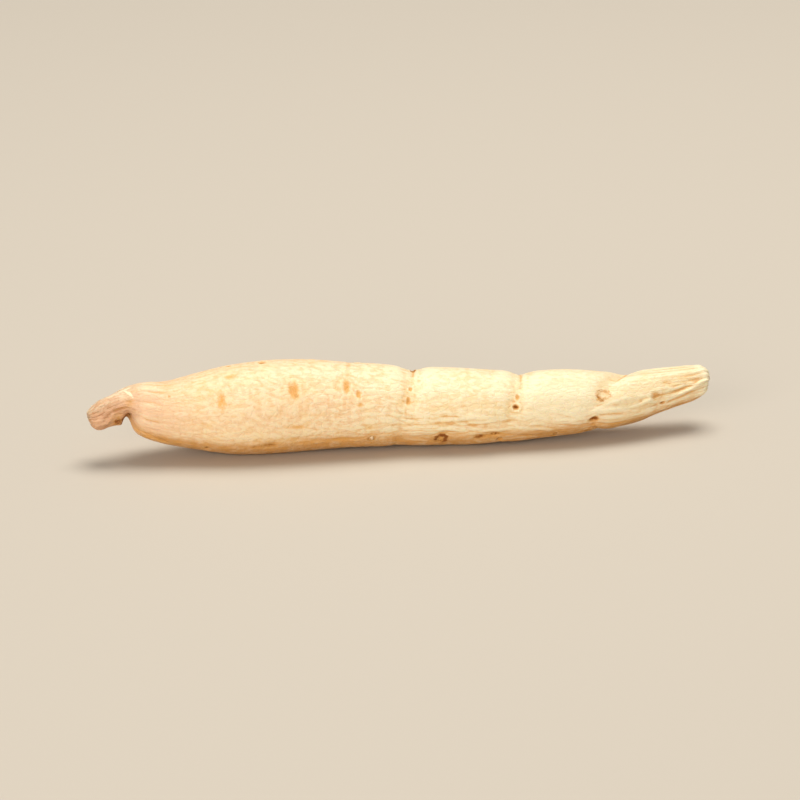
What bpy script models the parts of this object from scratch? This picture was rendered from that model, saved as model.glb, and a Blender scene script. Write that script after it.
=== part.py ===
"""A dried pseudostellaria root, lying on its belly as picked.

It grew in one piece, so it is one solid. A skin is swept along a bowed line, from the
crown at -X, where a stub of the stem is left, to the broken tail at +X. Growth rings
pinch it, drying has furrowed it, and pits mark where rootlets fell off. Its underside
is worn flat in a few small spots, and the root rests on those.
Metres, +Z up, with the origin on the resting surface below the middle of the root.
"""

import math
import random

import bmesh
import bpy
import numpy as np
from mathutils import Vector

# Driving dimensions
LENGTH = 0.0465  # from the end of the stem's stub to the end of the tail
BELLY_RADIUS = 0.0035  # where the root is thickest
WORN = 0.00012  # how deep the underside is worn flat

# Along the root, as (share of the length, share of the belly's radius)
RADIUS = (
    (0.000, 0.250),
    (0.035, 0.330),
    (0.056, 0.390),
    (0.078, 0.540),
    (0.110, 0.640),
    (0.160, 0.775),
    (0.215, 0.935),
    (0.278, 1.000),
    (0.350, 0.980),
    (0.484, 0.870),
    (0.619, 0.815),
    (0.720, 0.735),
    (0.794, 0.685),
    (0.870, 0.560),
    (0.935, 0.430),
    (1.000, 0.330),
)
CENTRE_HEIGHT = (
    (0.000, 0.830),
    (0.018, 1.035),
    (0.038, 1.150),
    (0.066, 1.190),
    (0.115, 1.000),
    (0.200, 0.945),
    (0.345, 0.975),
    (0.484, 0.880),
    (0.560, 0.820),
    (0.691, 0.775),
    (0.760, 0.805),
    (0.855, 0.765),
    (0.935, 0.895),
    (1.000, 0.985),
)
SIDEWAYS_BOW = (
    (0.00, -0.24),
    (0.08, -0.10),
    (0.30, 0.07),
    (0.50, 0.06),
    (0.70, -0.03),
    (0.85, 0.08),
    (1.00, 0.44),
)

# Growth rings: share of the length, depth on top and underneath as shares of the belly's
# radius, how far the ring leans as a share of the length, and the side that leans towards
# the tail, in degrees from the near side towards the top
GROWTH_RINGS = (
    (0.135, 0.010, 0.003, 0.006, -54),
    (0.413, 0.030, 0.008, 0.010, 180),
    (0.506, 0.135, 0.030, 0.010, 133),
    (0.675, 0.135, 0.030, 0.018, 113),
    (0.841, 0.135, 0.085, 0.041, 160),
)
RING_REACH = 0.014  # how wide a ring's pinch is, as a share of the length
RING_FAINT_SIDES = 0.30  # the depth left on the sides, where 1 is the depth on top

# Drying furrows along the root: how many go round it, their share of the depth, the
# turn of the first, and how far they wander, both in radians
FURROWS = ((5, 0.45, 0.4, 0.9), (7, 0.35, 2.3, 1.5), (10, 0.20, 1.1, 2.2))
FURROW_WANDERS = 1.3  # turns of the wander along the root
FURROW_DEPTH = (
    (0.00, 0.060),
    (0.07, 0.045),
    (0.20, 0.022),
    (0.40, 0.020),
    (0.70, 0.028),
    (0.86, 0.060),
    (1.00, 0.090),
)

# Pits of lost rootlets on the near side: share of the length, and degrees from the
# horizontal towards the top
NEAR_PITS = (
    (0.319, 36),
    (0.281, -39),
    (0.405, 42),
    (0.427, 33),
    (0.451, -40),
    (0.507, 48),
    (0.505, 27),
    (0.561, -42),
    (0.623, -39),
    (0.643, -38),
    (0.679, 36),
    (0.677, 18),
    (0.814, 29),
    (0.800, -21),
    (0.910, -10),
)
FAR_PITS = 16
FAR_PITS_FROM, FAR_PITS_TO = 0.14, 0.93  # shares of the length
FAR_ANGLES = (85, 320)  # degrees, round the back from the top
PIT_LONG = 0.00040  # reach along the root
PIT_WIDE = 0.00060  # reach round the root
PIT_DEPTH = 0.00016

# The notch below the neck, where the stub bends over
NOTCH_SHARE = 0.060  # of the length
NOTCH_ANGLE = -62  # degrees from the horizontal, where it is deepest
NOTCH_DEPTH = 0.00110
NOTCH_LONG = 0.00038  # reach along the root
NOTCH_ROUND = 0.90  # reach round the root, in radians

# The two ends
END_REACH = 0.012  # how far an end is rounded over, as a share of the length
END_BLUNTNESS = 3.0  # 2 is a round end, and more is a flatter one
BREAK_LEAN = 0.35  # how far the tail's broken face leans, as a share of its radius
STUB_LUMPS = 0.10  # height of the bud scars on the stub, as a share of its radius
STUB_ENDS = 0.07  # share of the length

# The grid that the skin is built on: sides round it, and stations along it
SIDES = 44
END_STATIONS = 6
CROWN_STATIONS = 19
CROWN_ENDS = 0.10  # share of the length
BODY_STATIONS = 78

SKIN_COLOUR = (0.80, 0.58, 0.33, 1.0)
SKIN_ROUGHNESS = 0.55


def smooth_value(points, share):
    """The value at a share of the length, on one smooth curve through the points."""
    places = np.array([place for place, _ in points])
    values = np.array([value for _, value in points])
    slopes = np.gradient(values, places)
    i = int(np.clip(np.searchsorted(places, share) - 1, 0, len(places) - 2))
    span = places[i + 1] - places[i]
    t = (share - places[i]) / span
    rise = t * t * (3 - 2 * t)
    return float(
        values[i] * (1 - rise)
        + values[i + 1] * rise
        + span * slopes[i] * t * (1 - t) ** 2
        - span * slopes[i + 1] * t * t * (1 - t)
    )


def centre(share):
    """The point at a share of the length on the line that the root grew along."""
    return Vector(
        (
            (share - 0.5) * LENGTH,
            BELLY_RADIUS * smooth_value(SIDEWAYS_BOW, share),
            BELLY_RADIUS * smooth_value(CENTRE_HEIGHT, share),
        )
    )


def directions(share):
    """Along the root, towards the near side and towards the top, square to each other."""
    step = 0.004
    along = centre(min(share + step, 1)) - centre(max(share - step, 0))
    along.normalize()
    near = along.cross(Vector((0, 0, 1)))
    near.normalize()
    return along, near, near.cross(along)


def rounding(share):
    """1 along the root, falling to 0 at either end as a rounded corner does."""
    inside = min(share, 1 - share) / END_REACH
    if inside >= 1:
        return 1.0
    return (1 - (1 - inside) ** END_BLUNTNESS) ** (1 / END_BLUNTNESS)


def ring_pinch(share, angle):
    """How far the growth rings pull the skin in: deep on top, and faint on the sides."""
    upright = math.sin(angle) ** 2
    pinch = 0.0
    for place, on_top, underneath, lean, towards in GROWTH_RINGS:
        away = (share - place - lean * math.cos(angle - math.radians(towards))) / RING_REACH
        facing = on_top if math.sin(angle) > 0 else underneath
        depth = on_top * RING_FAINT_SIDES * (1 - upright) + facing * upright
        pinch += depth * math.exp(-away * away)
    return pinch * BELLY_RADIUS


def furrow(share, angle):
    """Height of the drying folds there: above 0 on a fold and below 0 in a furrow."""
    wander = math.sin(math.tau * FURROW_WANDERS * share)
    folds = sum(
        part * math.cos(count * angle + turn + drift * wander)
        for count, part, turn, drift in FURROWS
    )
    return folds * smooth_value(FURROW_DEPTH, share)


def short_way(angle, other):
    """The turn from the other angle to this one, the short way round."""
    return (angle - other + math.pi) % math.tau - math.pi


def neck_notch(share, angle):
    """How far the notch below the neck pulls the skin in."""
    along = (share - NOTCH_SHARE) * LENGTH / NOTCH_LONG
    around = short_way(angle, math.radians(NOTCH_ANGLE)) / NOTCH_ROUND
    return NOTCH_DEPTH * math.exp(-along * along - around * around)


def stub_lump(share, angle):
    """Height of the bud scars round the stub, as a share of its radius."""
    if share >= STUB_ENDS:
        return 0.0
    fade = math.sin(math.pi * share / STUB_ENDS)
    return STUB_LUMPS * fade * math.cos(3 * angle + 90 * share)


def rootlet_pits():
    """All pits, as (share of the length, angle). Those that the near side hides are drawn."""
    draw = random.Random(11)
    pits = [(share, math.radians(degrees)) for share, degrees in NEAR_PITS]
    for i in range(FAR_PITS):
        share = FAR_PITS_FROM + (FAR_PITS_TO - FAR_PITS_FROM) * (i + draw.random()) / FAR_PITS
        pits.append((share, math.radians(draw.uniform(*FAR_ANGLES))))
    return pits


def pit_depth(share, angle, radius, pits):
    """How far the pits sink the skin there."""
    depth = 0.0
    for pit_share, pit_angle in pits:
        along = (share - pit_share) * LENGTH / PIT_LONG
        around = short_way(angle, pit_angle) * radius / PIT_WIDE
        depth += PIT_DEPTH * math.exp(-along * along - around * around)
    return depth


def skin_point(share, angle, pits):
    """The point of the skin at a share of the length. Angle 0 is near, a quarter turn is up."""
    along, near, up = directions(share)
    radius = BELLY_RADIUS * smooth_value(RADIUS, share)
    height = radius * (1 + furrow(share, angle) + stub_lump(share, angle))
    height -= ring_pinch(share, angle) + neck_notch(share, angle)
    height -= pit_depth(share, angle, radius, pits)
    height *= rounding(share)
    point = centre(share) + height * (math.cos(angle) * near + math.sin(angle) * up)
    if share > 1 - END_REACH:
        point += along * BREAK_LEAN * height * math.sin(angle)
    return point


def station_shares():
    """Where the rings of points lie along the root: closest at its ends, then at the crown."""
    end = [
        END_REACH * (1 - math.cos(math.pi / 2 * (i + 1) / END_STATIONS))
        for i in range(END_STATIONS - 1)
    ]
    crown = np.linspace(END_REACH, CROWN_ENDS, CROWN_STATIONS)
    body = np.linspace(CROWN_ENDS, 1 - END_REACH, BODY_STATIONS)
    return [*end, *crown[:-1], *body, *(1 - share for share in reversed(end))]


def swept_skin():
    """The closed skin, as a bmesh: rings of points joined by quads, and a fan on each end."""
    mesh = bmesh.new()
    pits = rootlet_pits()
    angles = [math.tau * i / SIDES for i in range(SIDES)]
    rings = [
        [mesh.verts.new(skin_point(share, angle, pits)) for angle in angles]
        for share in station_shares()
    ]
    for ring, following in zip(rings, rings[1:]):
        for i in range(SIDES):
            j = (i + 1) % SIDES
            mesh.faces.new((ring[i], ring[j], following[j], following[i]))
    for ring, share in ((rings[0], 0.0), (rings[-1], 1.0)):
        tip = mesh.verts.new(centre(share))
        for i in range(SIDES):
            mesh.faces.new((tip, ring[i], ring[(i + 1) % SIDES]))
    bmesh.ops.recalc_face_normals(mesh, faces=mesh.faces)
    return mesh


def lay_down(mesh):
    """Lowers the root until its underside is worn flat, and centres it over the origin."""
    lowest = min(vertex.co.z for vertex in mesh.verts)
    sides = [vertex.co.y for vertex in mesh.verts]
    ends = [vertex.co.x for vertex in mesh.verts]
    middle = Vector(((min(ends) + max(ends)) / 2, (min(sides) + max(sides)) / 2, lowest + WORN))
    bmesh.ops.translate(mesh, verts=mesh.verts, vec=-middle)
    everything = mesh.verts[:] + mesh.edges[:] + mesh.faces[:]
    bmesh.ops.bisect_plane(
        mesh, geom=everything, plane_co=(0, 0, 0), plane_no=(0, 0, -1), clear_outer=True
    )
    bmesh.ops.holes_fill(mesh, edges=[edge for edge in mesh.edges if edge.is_boundary])
    bmesh.ops.recalc_face_normals(mesh, faces=mesh.faces)


def skin_material():
    """Pale yellow-brown, dry and slightly waxy."""
    material = bpy.data.materials.new("root_skin")
    material.use_nodes = True
    shader = material.node_tree.nodes["Principled BSDF"]
    shader.inputs["Base Color"].default_value = SKIN_COLOUR
    shader.inputs["Roughness"].default_value = SKIN_ROUGHNESS
    shader.inputs["Metallic"].default_value = 0.0
    return material


def build_root():
    """The root as one named object."""
    skin = swept_skin()
    lay_down(skin)
    mesh = bpy.data.meshes.new("pseudostellaria_root")
    skin.to_mesh(mesh)
    skin.free()
    mesh.shade_smooth()
    mesh.materials.append(skin_material())
    root = bpy.data.objects.new("pseudostellaria_root", mesh)
    bpy.context.scene.collection.objects.link(root)
    return root


def main():
    for old in list(bpy.data.objects):
        bpy.data.objects.remove(old)
    build_root()


main()
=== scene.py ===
# %% [markdown]
# # One dried pseudostellaria root
#
# Pseudostellaria is a small woodland herb that is grown for its roots. They are dug in summer,
# scalded, dried in the sun and simmered in soup. A dried root is about as long as a finger joint: a
# spindle that swells behind its crown and thins to a tail, pinched by a few growth rings, and dotted
# where its rootlets broke off.
#
# The solid root, at its true size and place, comes from the frame. This script gives it its skin. The
# skin is one fine mesh that lies on the solid, and small loose things such as bud scales and fibres
# are added to it.

# %% Load the frame
import math
import random

import bpy
import numpy as np
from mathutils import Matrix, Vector, noise


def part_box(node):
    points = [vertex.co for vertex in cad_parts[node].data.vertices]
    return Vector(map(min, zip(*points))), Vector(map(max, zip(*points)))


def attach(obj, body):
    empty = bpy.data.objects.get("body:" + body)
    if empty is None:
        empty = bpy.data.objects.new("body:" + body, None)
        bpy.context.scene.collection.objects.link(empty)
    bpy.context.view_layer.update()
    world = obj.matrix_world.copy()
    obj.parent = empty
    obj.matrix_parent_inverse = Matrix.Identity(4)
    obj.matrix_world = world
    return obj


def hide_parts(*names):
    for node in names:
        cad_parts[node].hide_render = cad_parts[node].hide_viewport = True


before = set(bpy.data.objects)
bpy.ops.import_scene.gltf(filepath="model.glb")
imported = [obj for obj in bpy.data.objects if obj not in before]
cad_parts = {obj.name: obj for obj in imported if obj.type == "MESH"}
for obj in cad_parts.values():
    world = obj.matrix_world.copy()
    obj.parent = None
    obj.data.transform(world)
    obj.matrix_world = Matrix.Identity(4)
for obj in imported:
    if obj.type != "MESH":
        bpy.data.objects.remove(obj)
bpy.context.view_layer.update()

NODE = "pseudostellaria_root"
MM = 0.001
low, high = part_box(NODE)
print("solid root, mm:", [round((b - a) / MM, 1) for a, b in zip(low, high)])

# %% [markdown]
# ## The view
#
# The picture looks down on the root at about 20 degrees, from a little to its left. The root is no
# longer than a finger joint, and a lens close by would show its near end larger. So the lens is very
# long, and stands well back, which keeps the shape as flat as the picture has it. The distance follows
# from the share of the frame that the root should fill.

# %% Camera
VIEW_TURN = math.radians(-7.6)
VIEW_HEIGHT = math.radians(19.7)
LENS = 250.0  # mm
SENSOR = 36.0  # mm
ROOT_FILLS = 0.79  # of the frame's width

root_middle = (low + high) / 2
distance = (high.x - low.x) / ROOT_FILLS * LENS / SENSOR
towards_camera = Vector(
    (
        math.sin(VIEW_TURN) * math.cos(VIEW_HEIGHT),
        -math.cos(VIEW_TURN) * math.cos(VIEW_HEIGHT),
        math.sin(VIEW_HEIGHT),
    )
)
bpy.ops.object.camera_add(location=root_middle + towards_camera * distance)
camera = bpy.context.object
camera.rotation_euler = towards_camera.to_track_quat("Z", "Y").to_euler()
camera.data.lens = LENS
camera.data.sensor_width = SENSOR
camera.data.clip_start = distance / 20
bpy.context.scene.camera = camera
print("camera stands", round(distance / MM), "mm away")

# %% [markdown]
# ## The blank
#
# The solid comes as loose triangles, and it must not be changed. So a copy of it is merged into one
# surface, its triangles are paired into quads, and a Subdivision Surface rounds it. This smooth blank
# is measured, the skin is shrunk onto it, and it is thrown away at the end.


# %% Make the blank
MERGE_WITHIN = 0.001 * MM


def work_on(piece):
    """Deselects everything, then selects this piece and makes it active."""
    bpy.ops.object.select_all(action="DESELECT")
    piece.select_set(True)
    bpy.context.view_layer.objects.active = piece


def apply_modifier(piece, kind, **settings):
    """Adds a modifier with these settings and applies it."""
    work_on(piece)
    modifier = piece.modifiers.new(kind.title(), kind)
    for setting, value in settings.items():
        setattr(modifier, setting, value)
    bpy.ops.object.modifier_apply(modifier=modifier.name)


def rows_of(items, name, width, kind=float):
    """One value of every item of a mesh, such as its vertices' places, as an array with a row for each."""
    flat = np.empty(len(items) * width, kind)
    items.foreach_get(name, flat)
    return flat.reshape(-1, width)


blank = bpy.data.objects.new("blank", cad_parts[NODE].data.copy())
bpy.context.scene.collection.objects.link(blank)
work_on(blank)
bpy.ops.object.mode_set(mode="EDIT")
bpy.ops.mesh.select_all(action="SELECT")
bpy.ops.mesh.remove_doubles(threshold=MERGE_WITHIN)
bpy.ops.mesh.tris_convert_to_quads()
bpy.ops.object.mode_set(mode="OBJECT")
apply_modifier(blank, "SUBSURF", levels=2, render_levels=2)
blank_points = rows_of(blank.data.vertices, "co", 3)
print("blank:", len(blank_points), "points")

# %% [markdown]
# ## The line that the root grew along
#
# Everything on a root follows the line through its middle: wrinkles run along it, and rings run round
# it. The blank is cut into thin slices, and the middles of the slices give that line. At either end
# the line is carried on straight to the end of the root, because a slice there would cut the corner off.

# %% Find the line
SLICES = 120
SLICE = 0.35 * MM
CROWN_MARGIN = 1.3 * MM
TAIL_MARGIN = 0.9 * MM
LINE_SMOOTHING = 6  # times
END_RUN = 3  # slices that set the direction at an end


def slice_middle(x):
    """The middle of the slice of the blank at x."""
    thin = blank_points[np.abs(blank_points[:, 0] - x) < SLICE / 2]
    return (thin.min(0) + thin.max(0)) / 2 * (0, 1, 1) + (x, 0, 0)


def smoothed(rows, times):
    """The rows, each averaged with its neighbours so many times. The first and last stay."""
    for _ in range(times):
        rows = np.vstack([rows[:1], (rows[:-2] + 2 * rows[1:-1] + rows[2:]) / 4, rows[-1:]])
    return rows


def carried_on(end, inner):
    """The point where the line from inner through end leaves the root."""
    way = (end - inner) / np.linalg.norm(end - inner)
    return end + way * ((blank_points - end) @ way).max()


slices = np.linspace(low.x + CROWN_MARGIN, high.x - TAIL_MARGIN, SLICES)
line = smoothed(np.array([slice_middle(x) for x in slices]), LINE_SMOOTHING)
line = np.vstack([carried_on(line[0], line[END_RUN]), line, carried_on(line[-1], line[-1 - END_RUN])])
LENGTH = line[-1, 0] - line[0, 0]
line_share = (line[:, 0] - line[0, 0]) / LENGTH
print("line:", round(LENGTH / MM, 1), "mm long")

# %% [markdown]
# A place on the root is then told by its share of the length, from 0 at the crown to 1 at the tail, and
# its turn round the line, where 0 is the near side and a quarter turn is the top. The share comes from
# x first, and is corrected a few times along the line's own direction, since the line is bowed.

# %% Places along and round the root
DIRECTION_STEP = 0.012  # share of the length
SHARE_CORRECTIONS = 8
RADIUS_SLICES = 97
RADIUS_ENDS = (0.02, 0.98)
RADIUS_WITHIN = 0.006  # share of the length on either side of a slice


def on_line(share):
    """The point of the line at a share of the root's length."""
    return np.stack([np.interp(share, line_share, line[:, i]) for i in range(3)], axis=-1)


def directions(share):
    """Along the root, towards the near side, and up, each of length 1 and square to the others."""
    ahead, behind = np.minimum(share + DIRECTION_STEP, 1), np.maximum(share - DIRECTION_STEP, 0)
    way = on_line(ahead) - on_line(behind)
    way /= np.linalg.norm(way, axis=-1, keepdims=True)
    near = np.cross(way, (0.0, 0.0, 1.0))
    near /= np.linalg.norm(near, axis=-1, keepdims=True)
    return way, near, np.cross(near, way)


def locate(points):
    """The share of the length, the turn and the distance from the line of every point."""
    share = (points[:, 0] - line[0, 0]) / LENGTH
    for _ in range(SHARE_CORRECTIONS):
        way = directions(np.clip(share, 0, 1))[0]
        short = ((points - on_line(share)) * way).sum(1)
        share = np.clip(share + short / LENGTH, 0, 1)
    _, near, up = directions(share)
    out = points - on_line(share)
    sideways, upwards = (out * near).sum(1), (out * up).sum(1)
    return share, np.arctan2(upwards, sideways), np.hypot(sideways, upwards)


blank_share, _, blank_radius = locate(blank_points)
radius_shares = np.linspace(*RADIUS_ENDS, RADIUS_SLICES)
radii = np.array([blank_radius[np.abs(blank_share - s) < RADIUS_WITHIN].mean() for s in radius_shares])


def radius_at(share):
    """The root's mean radius at a share of its length."""
    return np.interp(share, radius_shares, radii)


print("radius, mm:", (radii[::16] / MM).round(2))

# %% [markdown]
# ## The sleeve
#
# The skin needs faces that run along and round the root, as its wrinkles do. So it is lofted: circles
# are added along the line, each as wide as the root is there, and bridged into a tube. They stand
# closer together at the crown, at the waists and at the notch below the neck, where the shape changes
# fast. The two ends are filled, inset towards their middles and poked, so the tube is closed. Then the
# sleeve is laid on the blank. Shrinkwrap does that for the ends. Along the root it would bridge the
# notch, so there each point slides out from the line, or in, until it meets the blank. Subdivision
# Surface at last makes the skin fine enough to hold small wrinkles.

# %% Loft the sleeve
SIDES = 52
CIRCLES = 111
FIRST_CIRCLE = 0.006
END_INSETS = 3
NOTCH = 0.060  # share of the length of the notch below the neck
WAISTS = (NOTCH, 0.506, 0.675, 0.822, 0.842)  # shares of the length
CROWN_WIDTH = 0.08
CROWN_CROWDING = 1.4
WAIST_WIDTH = 0.014
WAIST_CROWDING = 1.6


def valleys(field, width):
    """1 where the field is 0, falling to 0 on either side."""
    return np.exp(-((field / width) ** 2))


def directions_at(share):
    """The three directions at one place, as vectors."""
    return [Vector(rows[0]) for rows in directions(np.array([float(share)]))]


def loft(name, circles, sides):
    """A closed tube through the circles, each given as its middle, its direction and its radius."""
    bpy.ops.object.select_all(action="DESELECT")
    for i, (middle, way, radius) in enumerate(circles):
        bpy.ops.mesh.primitive_circle_add(
            vertices=sides, radius=radius, location=middle, rotation=way.to_track_quat("Z", "Y").to_euler()
        )
        if i == 0:
            tube = bpy.context.object
            tube.name = name
            bpy.ops.object.transform_apply(location=True, rotation=True, scale=True)
            bpy.ops.object.mode_set(mode="EDIT")
    bpy.ops.mesh.select_all(action="SELECT")
    bpy.ops.mesh.bridge_edge_loops()
    bpy.ops.mesh.select_all(action="SELECT")
    bpy.ops.mesh.fill_holes(sides=0)
    bpy.ops.mesh.select_all(action="SELECT")
    bpy.ops.mesh.normals_make_consistent(inside=False)
    bpy.ops.object.mode_set(mode="OBJECT")
    return tube


shares = np.linspace(FIRST_CIRCLE, 1 - FIRST_CIRCLE, 2000)
crowding = 1 + CROWN_CROWDING * valleys(shares, CROWN_WIDTH)
crowding += WAIST_CROWDING * sum(valleys(shares - waist, WAIST_WIDTH) for waist in WAISTS)
counted = np.cumsum(crowding)
stations = np.interp(np.linspace(counted[0], counted[-1], CIRCLES), counted, shares)
circles = [(on_line(at), directions_at(at)[0], float(radius_at(at))) for at in stations]
root = loft("root_skin", circles, SIDES)
print("tube:", len(root.data.polygons), "faces")

# %% Close and lay on the sleeve
ENDS_FROM = 0.009  # share of the length at either end that Shrinkwrap alone lays on


def edit_faces(piece, wanted):
    """Enters edit mode with just the faces selected that wanted() says yes to."""
    work_on(piece)
    bpy.ops.object.mode_set(mode="EDIT")
    bpy.ops.mesh.select_mode(type="FACE")
    bpy.ops.mesh.select_all(action="DESELECT")
    bpy.ops.object.mode_set(mode="OBJECT")
    for face in piece.data.polygons:
        face.select = wanted(face)
    bpy.ops.object.mode_set(mode="EDIT")


for end, radius in ((-1, radius_at(0.0)), (1, radius_at(1.0))):
    edit_faces(root, lambda face: len(face.vertices) > 4 and face.center.x * end > 0)
    for _ in range(END_INSETS):
        bpy.ops.mesh.inset(thickness=float(radius) / (END_INSETS + 1))
    bpy.ops.mesh.poke()
    bpy.ops.object.mode_set(mode="OBJECT")
edit_faces(root, lambda face: True)
bpy.ops.mesh.normals_make_consistent(inside=False)
bpy.ops.object.mode_set(mode="OBJECT")
tube_points = rows_of(root.data.vertices, "co", 3)
tube_shares = locate(tube_points)[0]
apply_modifier(root, "SHRINKWRAP", target=blank, wrap_method="TARGET_PROJECT")
for vertex, at, aim in zip(root.data.vertices, tube_shares, tube_points):
    if ENDS_FROM < at < 1 - ENDS_FROM:
        start = Vector(on_line(float(at)))
        found, place, _, _ = blank.ray_cast(start, Vector(aim) - start)
        if found:
            vertex.co = place
apply_modifier(root, "SUBSURF", levels=2, render_levels=2)
print("sleeve:", len(root.data.polygons), "faces")

# %% [markdown]
# ## Sculpting
#
# A sculptor would now push and pull the skin with brushes. Here the brushes are formulas: each says
# how far every vertex moves along its normal. They are added up and applied at once. Each brush can
# also leave a mask, an attribute on the vertices that the material reads later, so that the brown of a
# scar sits in its pit.
#
# Two coordinates carry everything: the share along the root and the turn round it. A third set,
# `drawn`, is where each vertex would be if the root were drawn out into a straight even rod. Noise
# that is read there runs along the root and closes round it without a seam. Every noise has a number
# of its own, its seed, so that no two look alike.

# %% Coordinates for the brushes
ROD = 2.8 * MM  # radius of the straight even rod
SEED_STEP = 7.3


def on_rod(share, turn):
    """Where vertices would be if the root were drawn out into a straight even rod."""
    return np.stack([share * LENGTH, np.cos(turn) * ROD, np.sin(turn) * ROD], axis=1)


skin_points = rows_of(root.data.vertices, "co", 3)
normals = rows_of(root.data.vertex_normals, "vector", 3)
share, turn, reach = locate(skin_points)
drawn = on_rod(share, turn)
print("skin:", len(skin_points), "vertices to sculpt")


def lumps(places, size, seed):
    """Smooth noise at every place, from about -1 to 1. The size may differ along each axis."""
    scaled = places / (np.array(size) * MM) + seed * SEED_STEP
    return np.array([noise.noise(Vector(p)) for p in scaled])


def profile(points, at):
    """The value at each share, read from a few (share, value) pairs."""
    return np.interp(at, [s for s, _ in points], [v for _, v in points])


def from_turn(degrees):
    """How far every vertex is turned from this angle, in radians, the short way round."""
    return (turn - math.radians(degrees) + math.pi) % math.tau - math.pi


def tell(name, moves):
    """Prints how far a brush pushes the skin, inwards and outwards."""
    print(f"{name}: {moves.min() / MM:.3f} to {moves.max() / MM:.3f} mm")


# %% [markdown]
# ### Wrinkles
#
# As a root dries, its flesh shrinks more than its skin, and the skin folds. On this root the folds run
# lengthwise. They are hardly seen on the plump part near the crown, clear on the sides of the two middle
# segments, and deep at the thin tail, which is ridged all round. Low on the middle segments a few
# broad folds wave up and down. Valleys are drawn where stretched noise crosses zero, because those
# crossings wander, split and join as real wrinkles do.

# %% Wrinkle brushes
# Share of the length, and the depth there in mm
WRINKLE_DEPTH = (
    (0.00, 0.040), (0.07, 0.050), (0.11, 0.020), (0.17, 0.011), (0.42, 0.014),
    (0.50, 0.036), (0.70, 0.042), (0.86, 0.048), (1.00, 0.050),
)
FOLD_DEPTH = ((0.34, 0.000), (0.46, 0.050), (0.56, 0.075), (0.78, 0.080), (0.86, 0.040), (1.00, 0.020))
RIDGE_DEPTH = ((0.85, 0.000), (0.90, 0.045), (0.94, 0.080), (1.00, 0.095))
# How much smoother the top is than the sides
SMOOTH_TOP = ((0.10, 0.0), (0.20, 0.3), (0.48, 0.6), (0.64, 0.75), (0.74, 0.92), (0.86, 0.92), (0.91, 0.0))
TAIL_RIDGES = 15
HANDMADE_SIDE = 8  # degrees, where the tail's ridges are drawn one by one
LOW_SIDES = (-34, 212)  # degrees, near and far
# Strength, length and spacing in mm, width as a rough share of the spacing, and the noise's seed
WRINKLES = ((0.9, 9.0, 1.15, 0.09, 2), (0.7, 5.5, 0.60, 0.14, 3), (0.4, 3.2, 0.34, 0.22, 4))

sway = 0.15 * lumps(drawn, (2.8, 2.0, 2.0), 1) + 0.05 * lumps(drawn, (1.0, 1.4, 1.4), 6)
swayed = on_rod(share, turn + sway)


def wrinkle(length, spacing, width, seed):
    """1 in creases that wander along the root, falling off softly on either side of them."""
    return np.exp(-np.abs(lumps(swayed, (length, spacing, spacing), seed)) / width)


low_side = sum(valleys(from_turn(degrees), 0.62) for degrees in LOW_SIDES)
patchy = np.clip(0.75 + 0.9 * lumps(drawn, (6.0, 3.0, 3.0), 5), 0.15, 1.4)
smooth_top = np.clip((np.sin(turn) + 0.10) / 0.5, 0, 1) * profile(SMOOTH_TOP, share)
depth = profile(WRINKLE_DEPTH, share) * MM * patchy * (1 - smooth_top)
wrinkles = -depth * sum(strength * wrinkle(*kind) for strength, *kind in WRINKLES)
wrinkles -= profile(FOLD_DEPTH, share) * MM * low_side * wrinkle(7.0, 1.5, 0.16, 7)
tail_ridges = np.cos(TAIL_RIDGES * turn + 2.6 * lumps(drawn, (6.0, 2.0, 2.0), 8))
left_free = 1 - 0.65 * valleys(from_turn(HANDMADE_SIDE), 0.75)
wrinkles += profile(RIDGE_DEPTH, share) * MM * patchy * left_free * (1 - valleys(tail_ridges + 1, 0.75))
tell("wrinkles", wrinkles)
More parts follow.
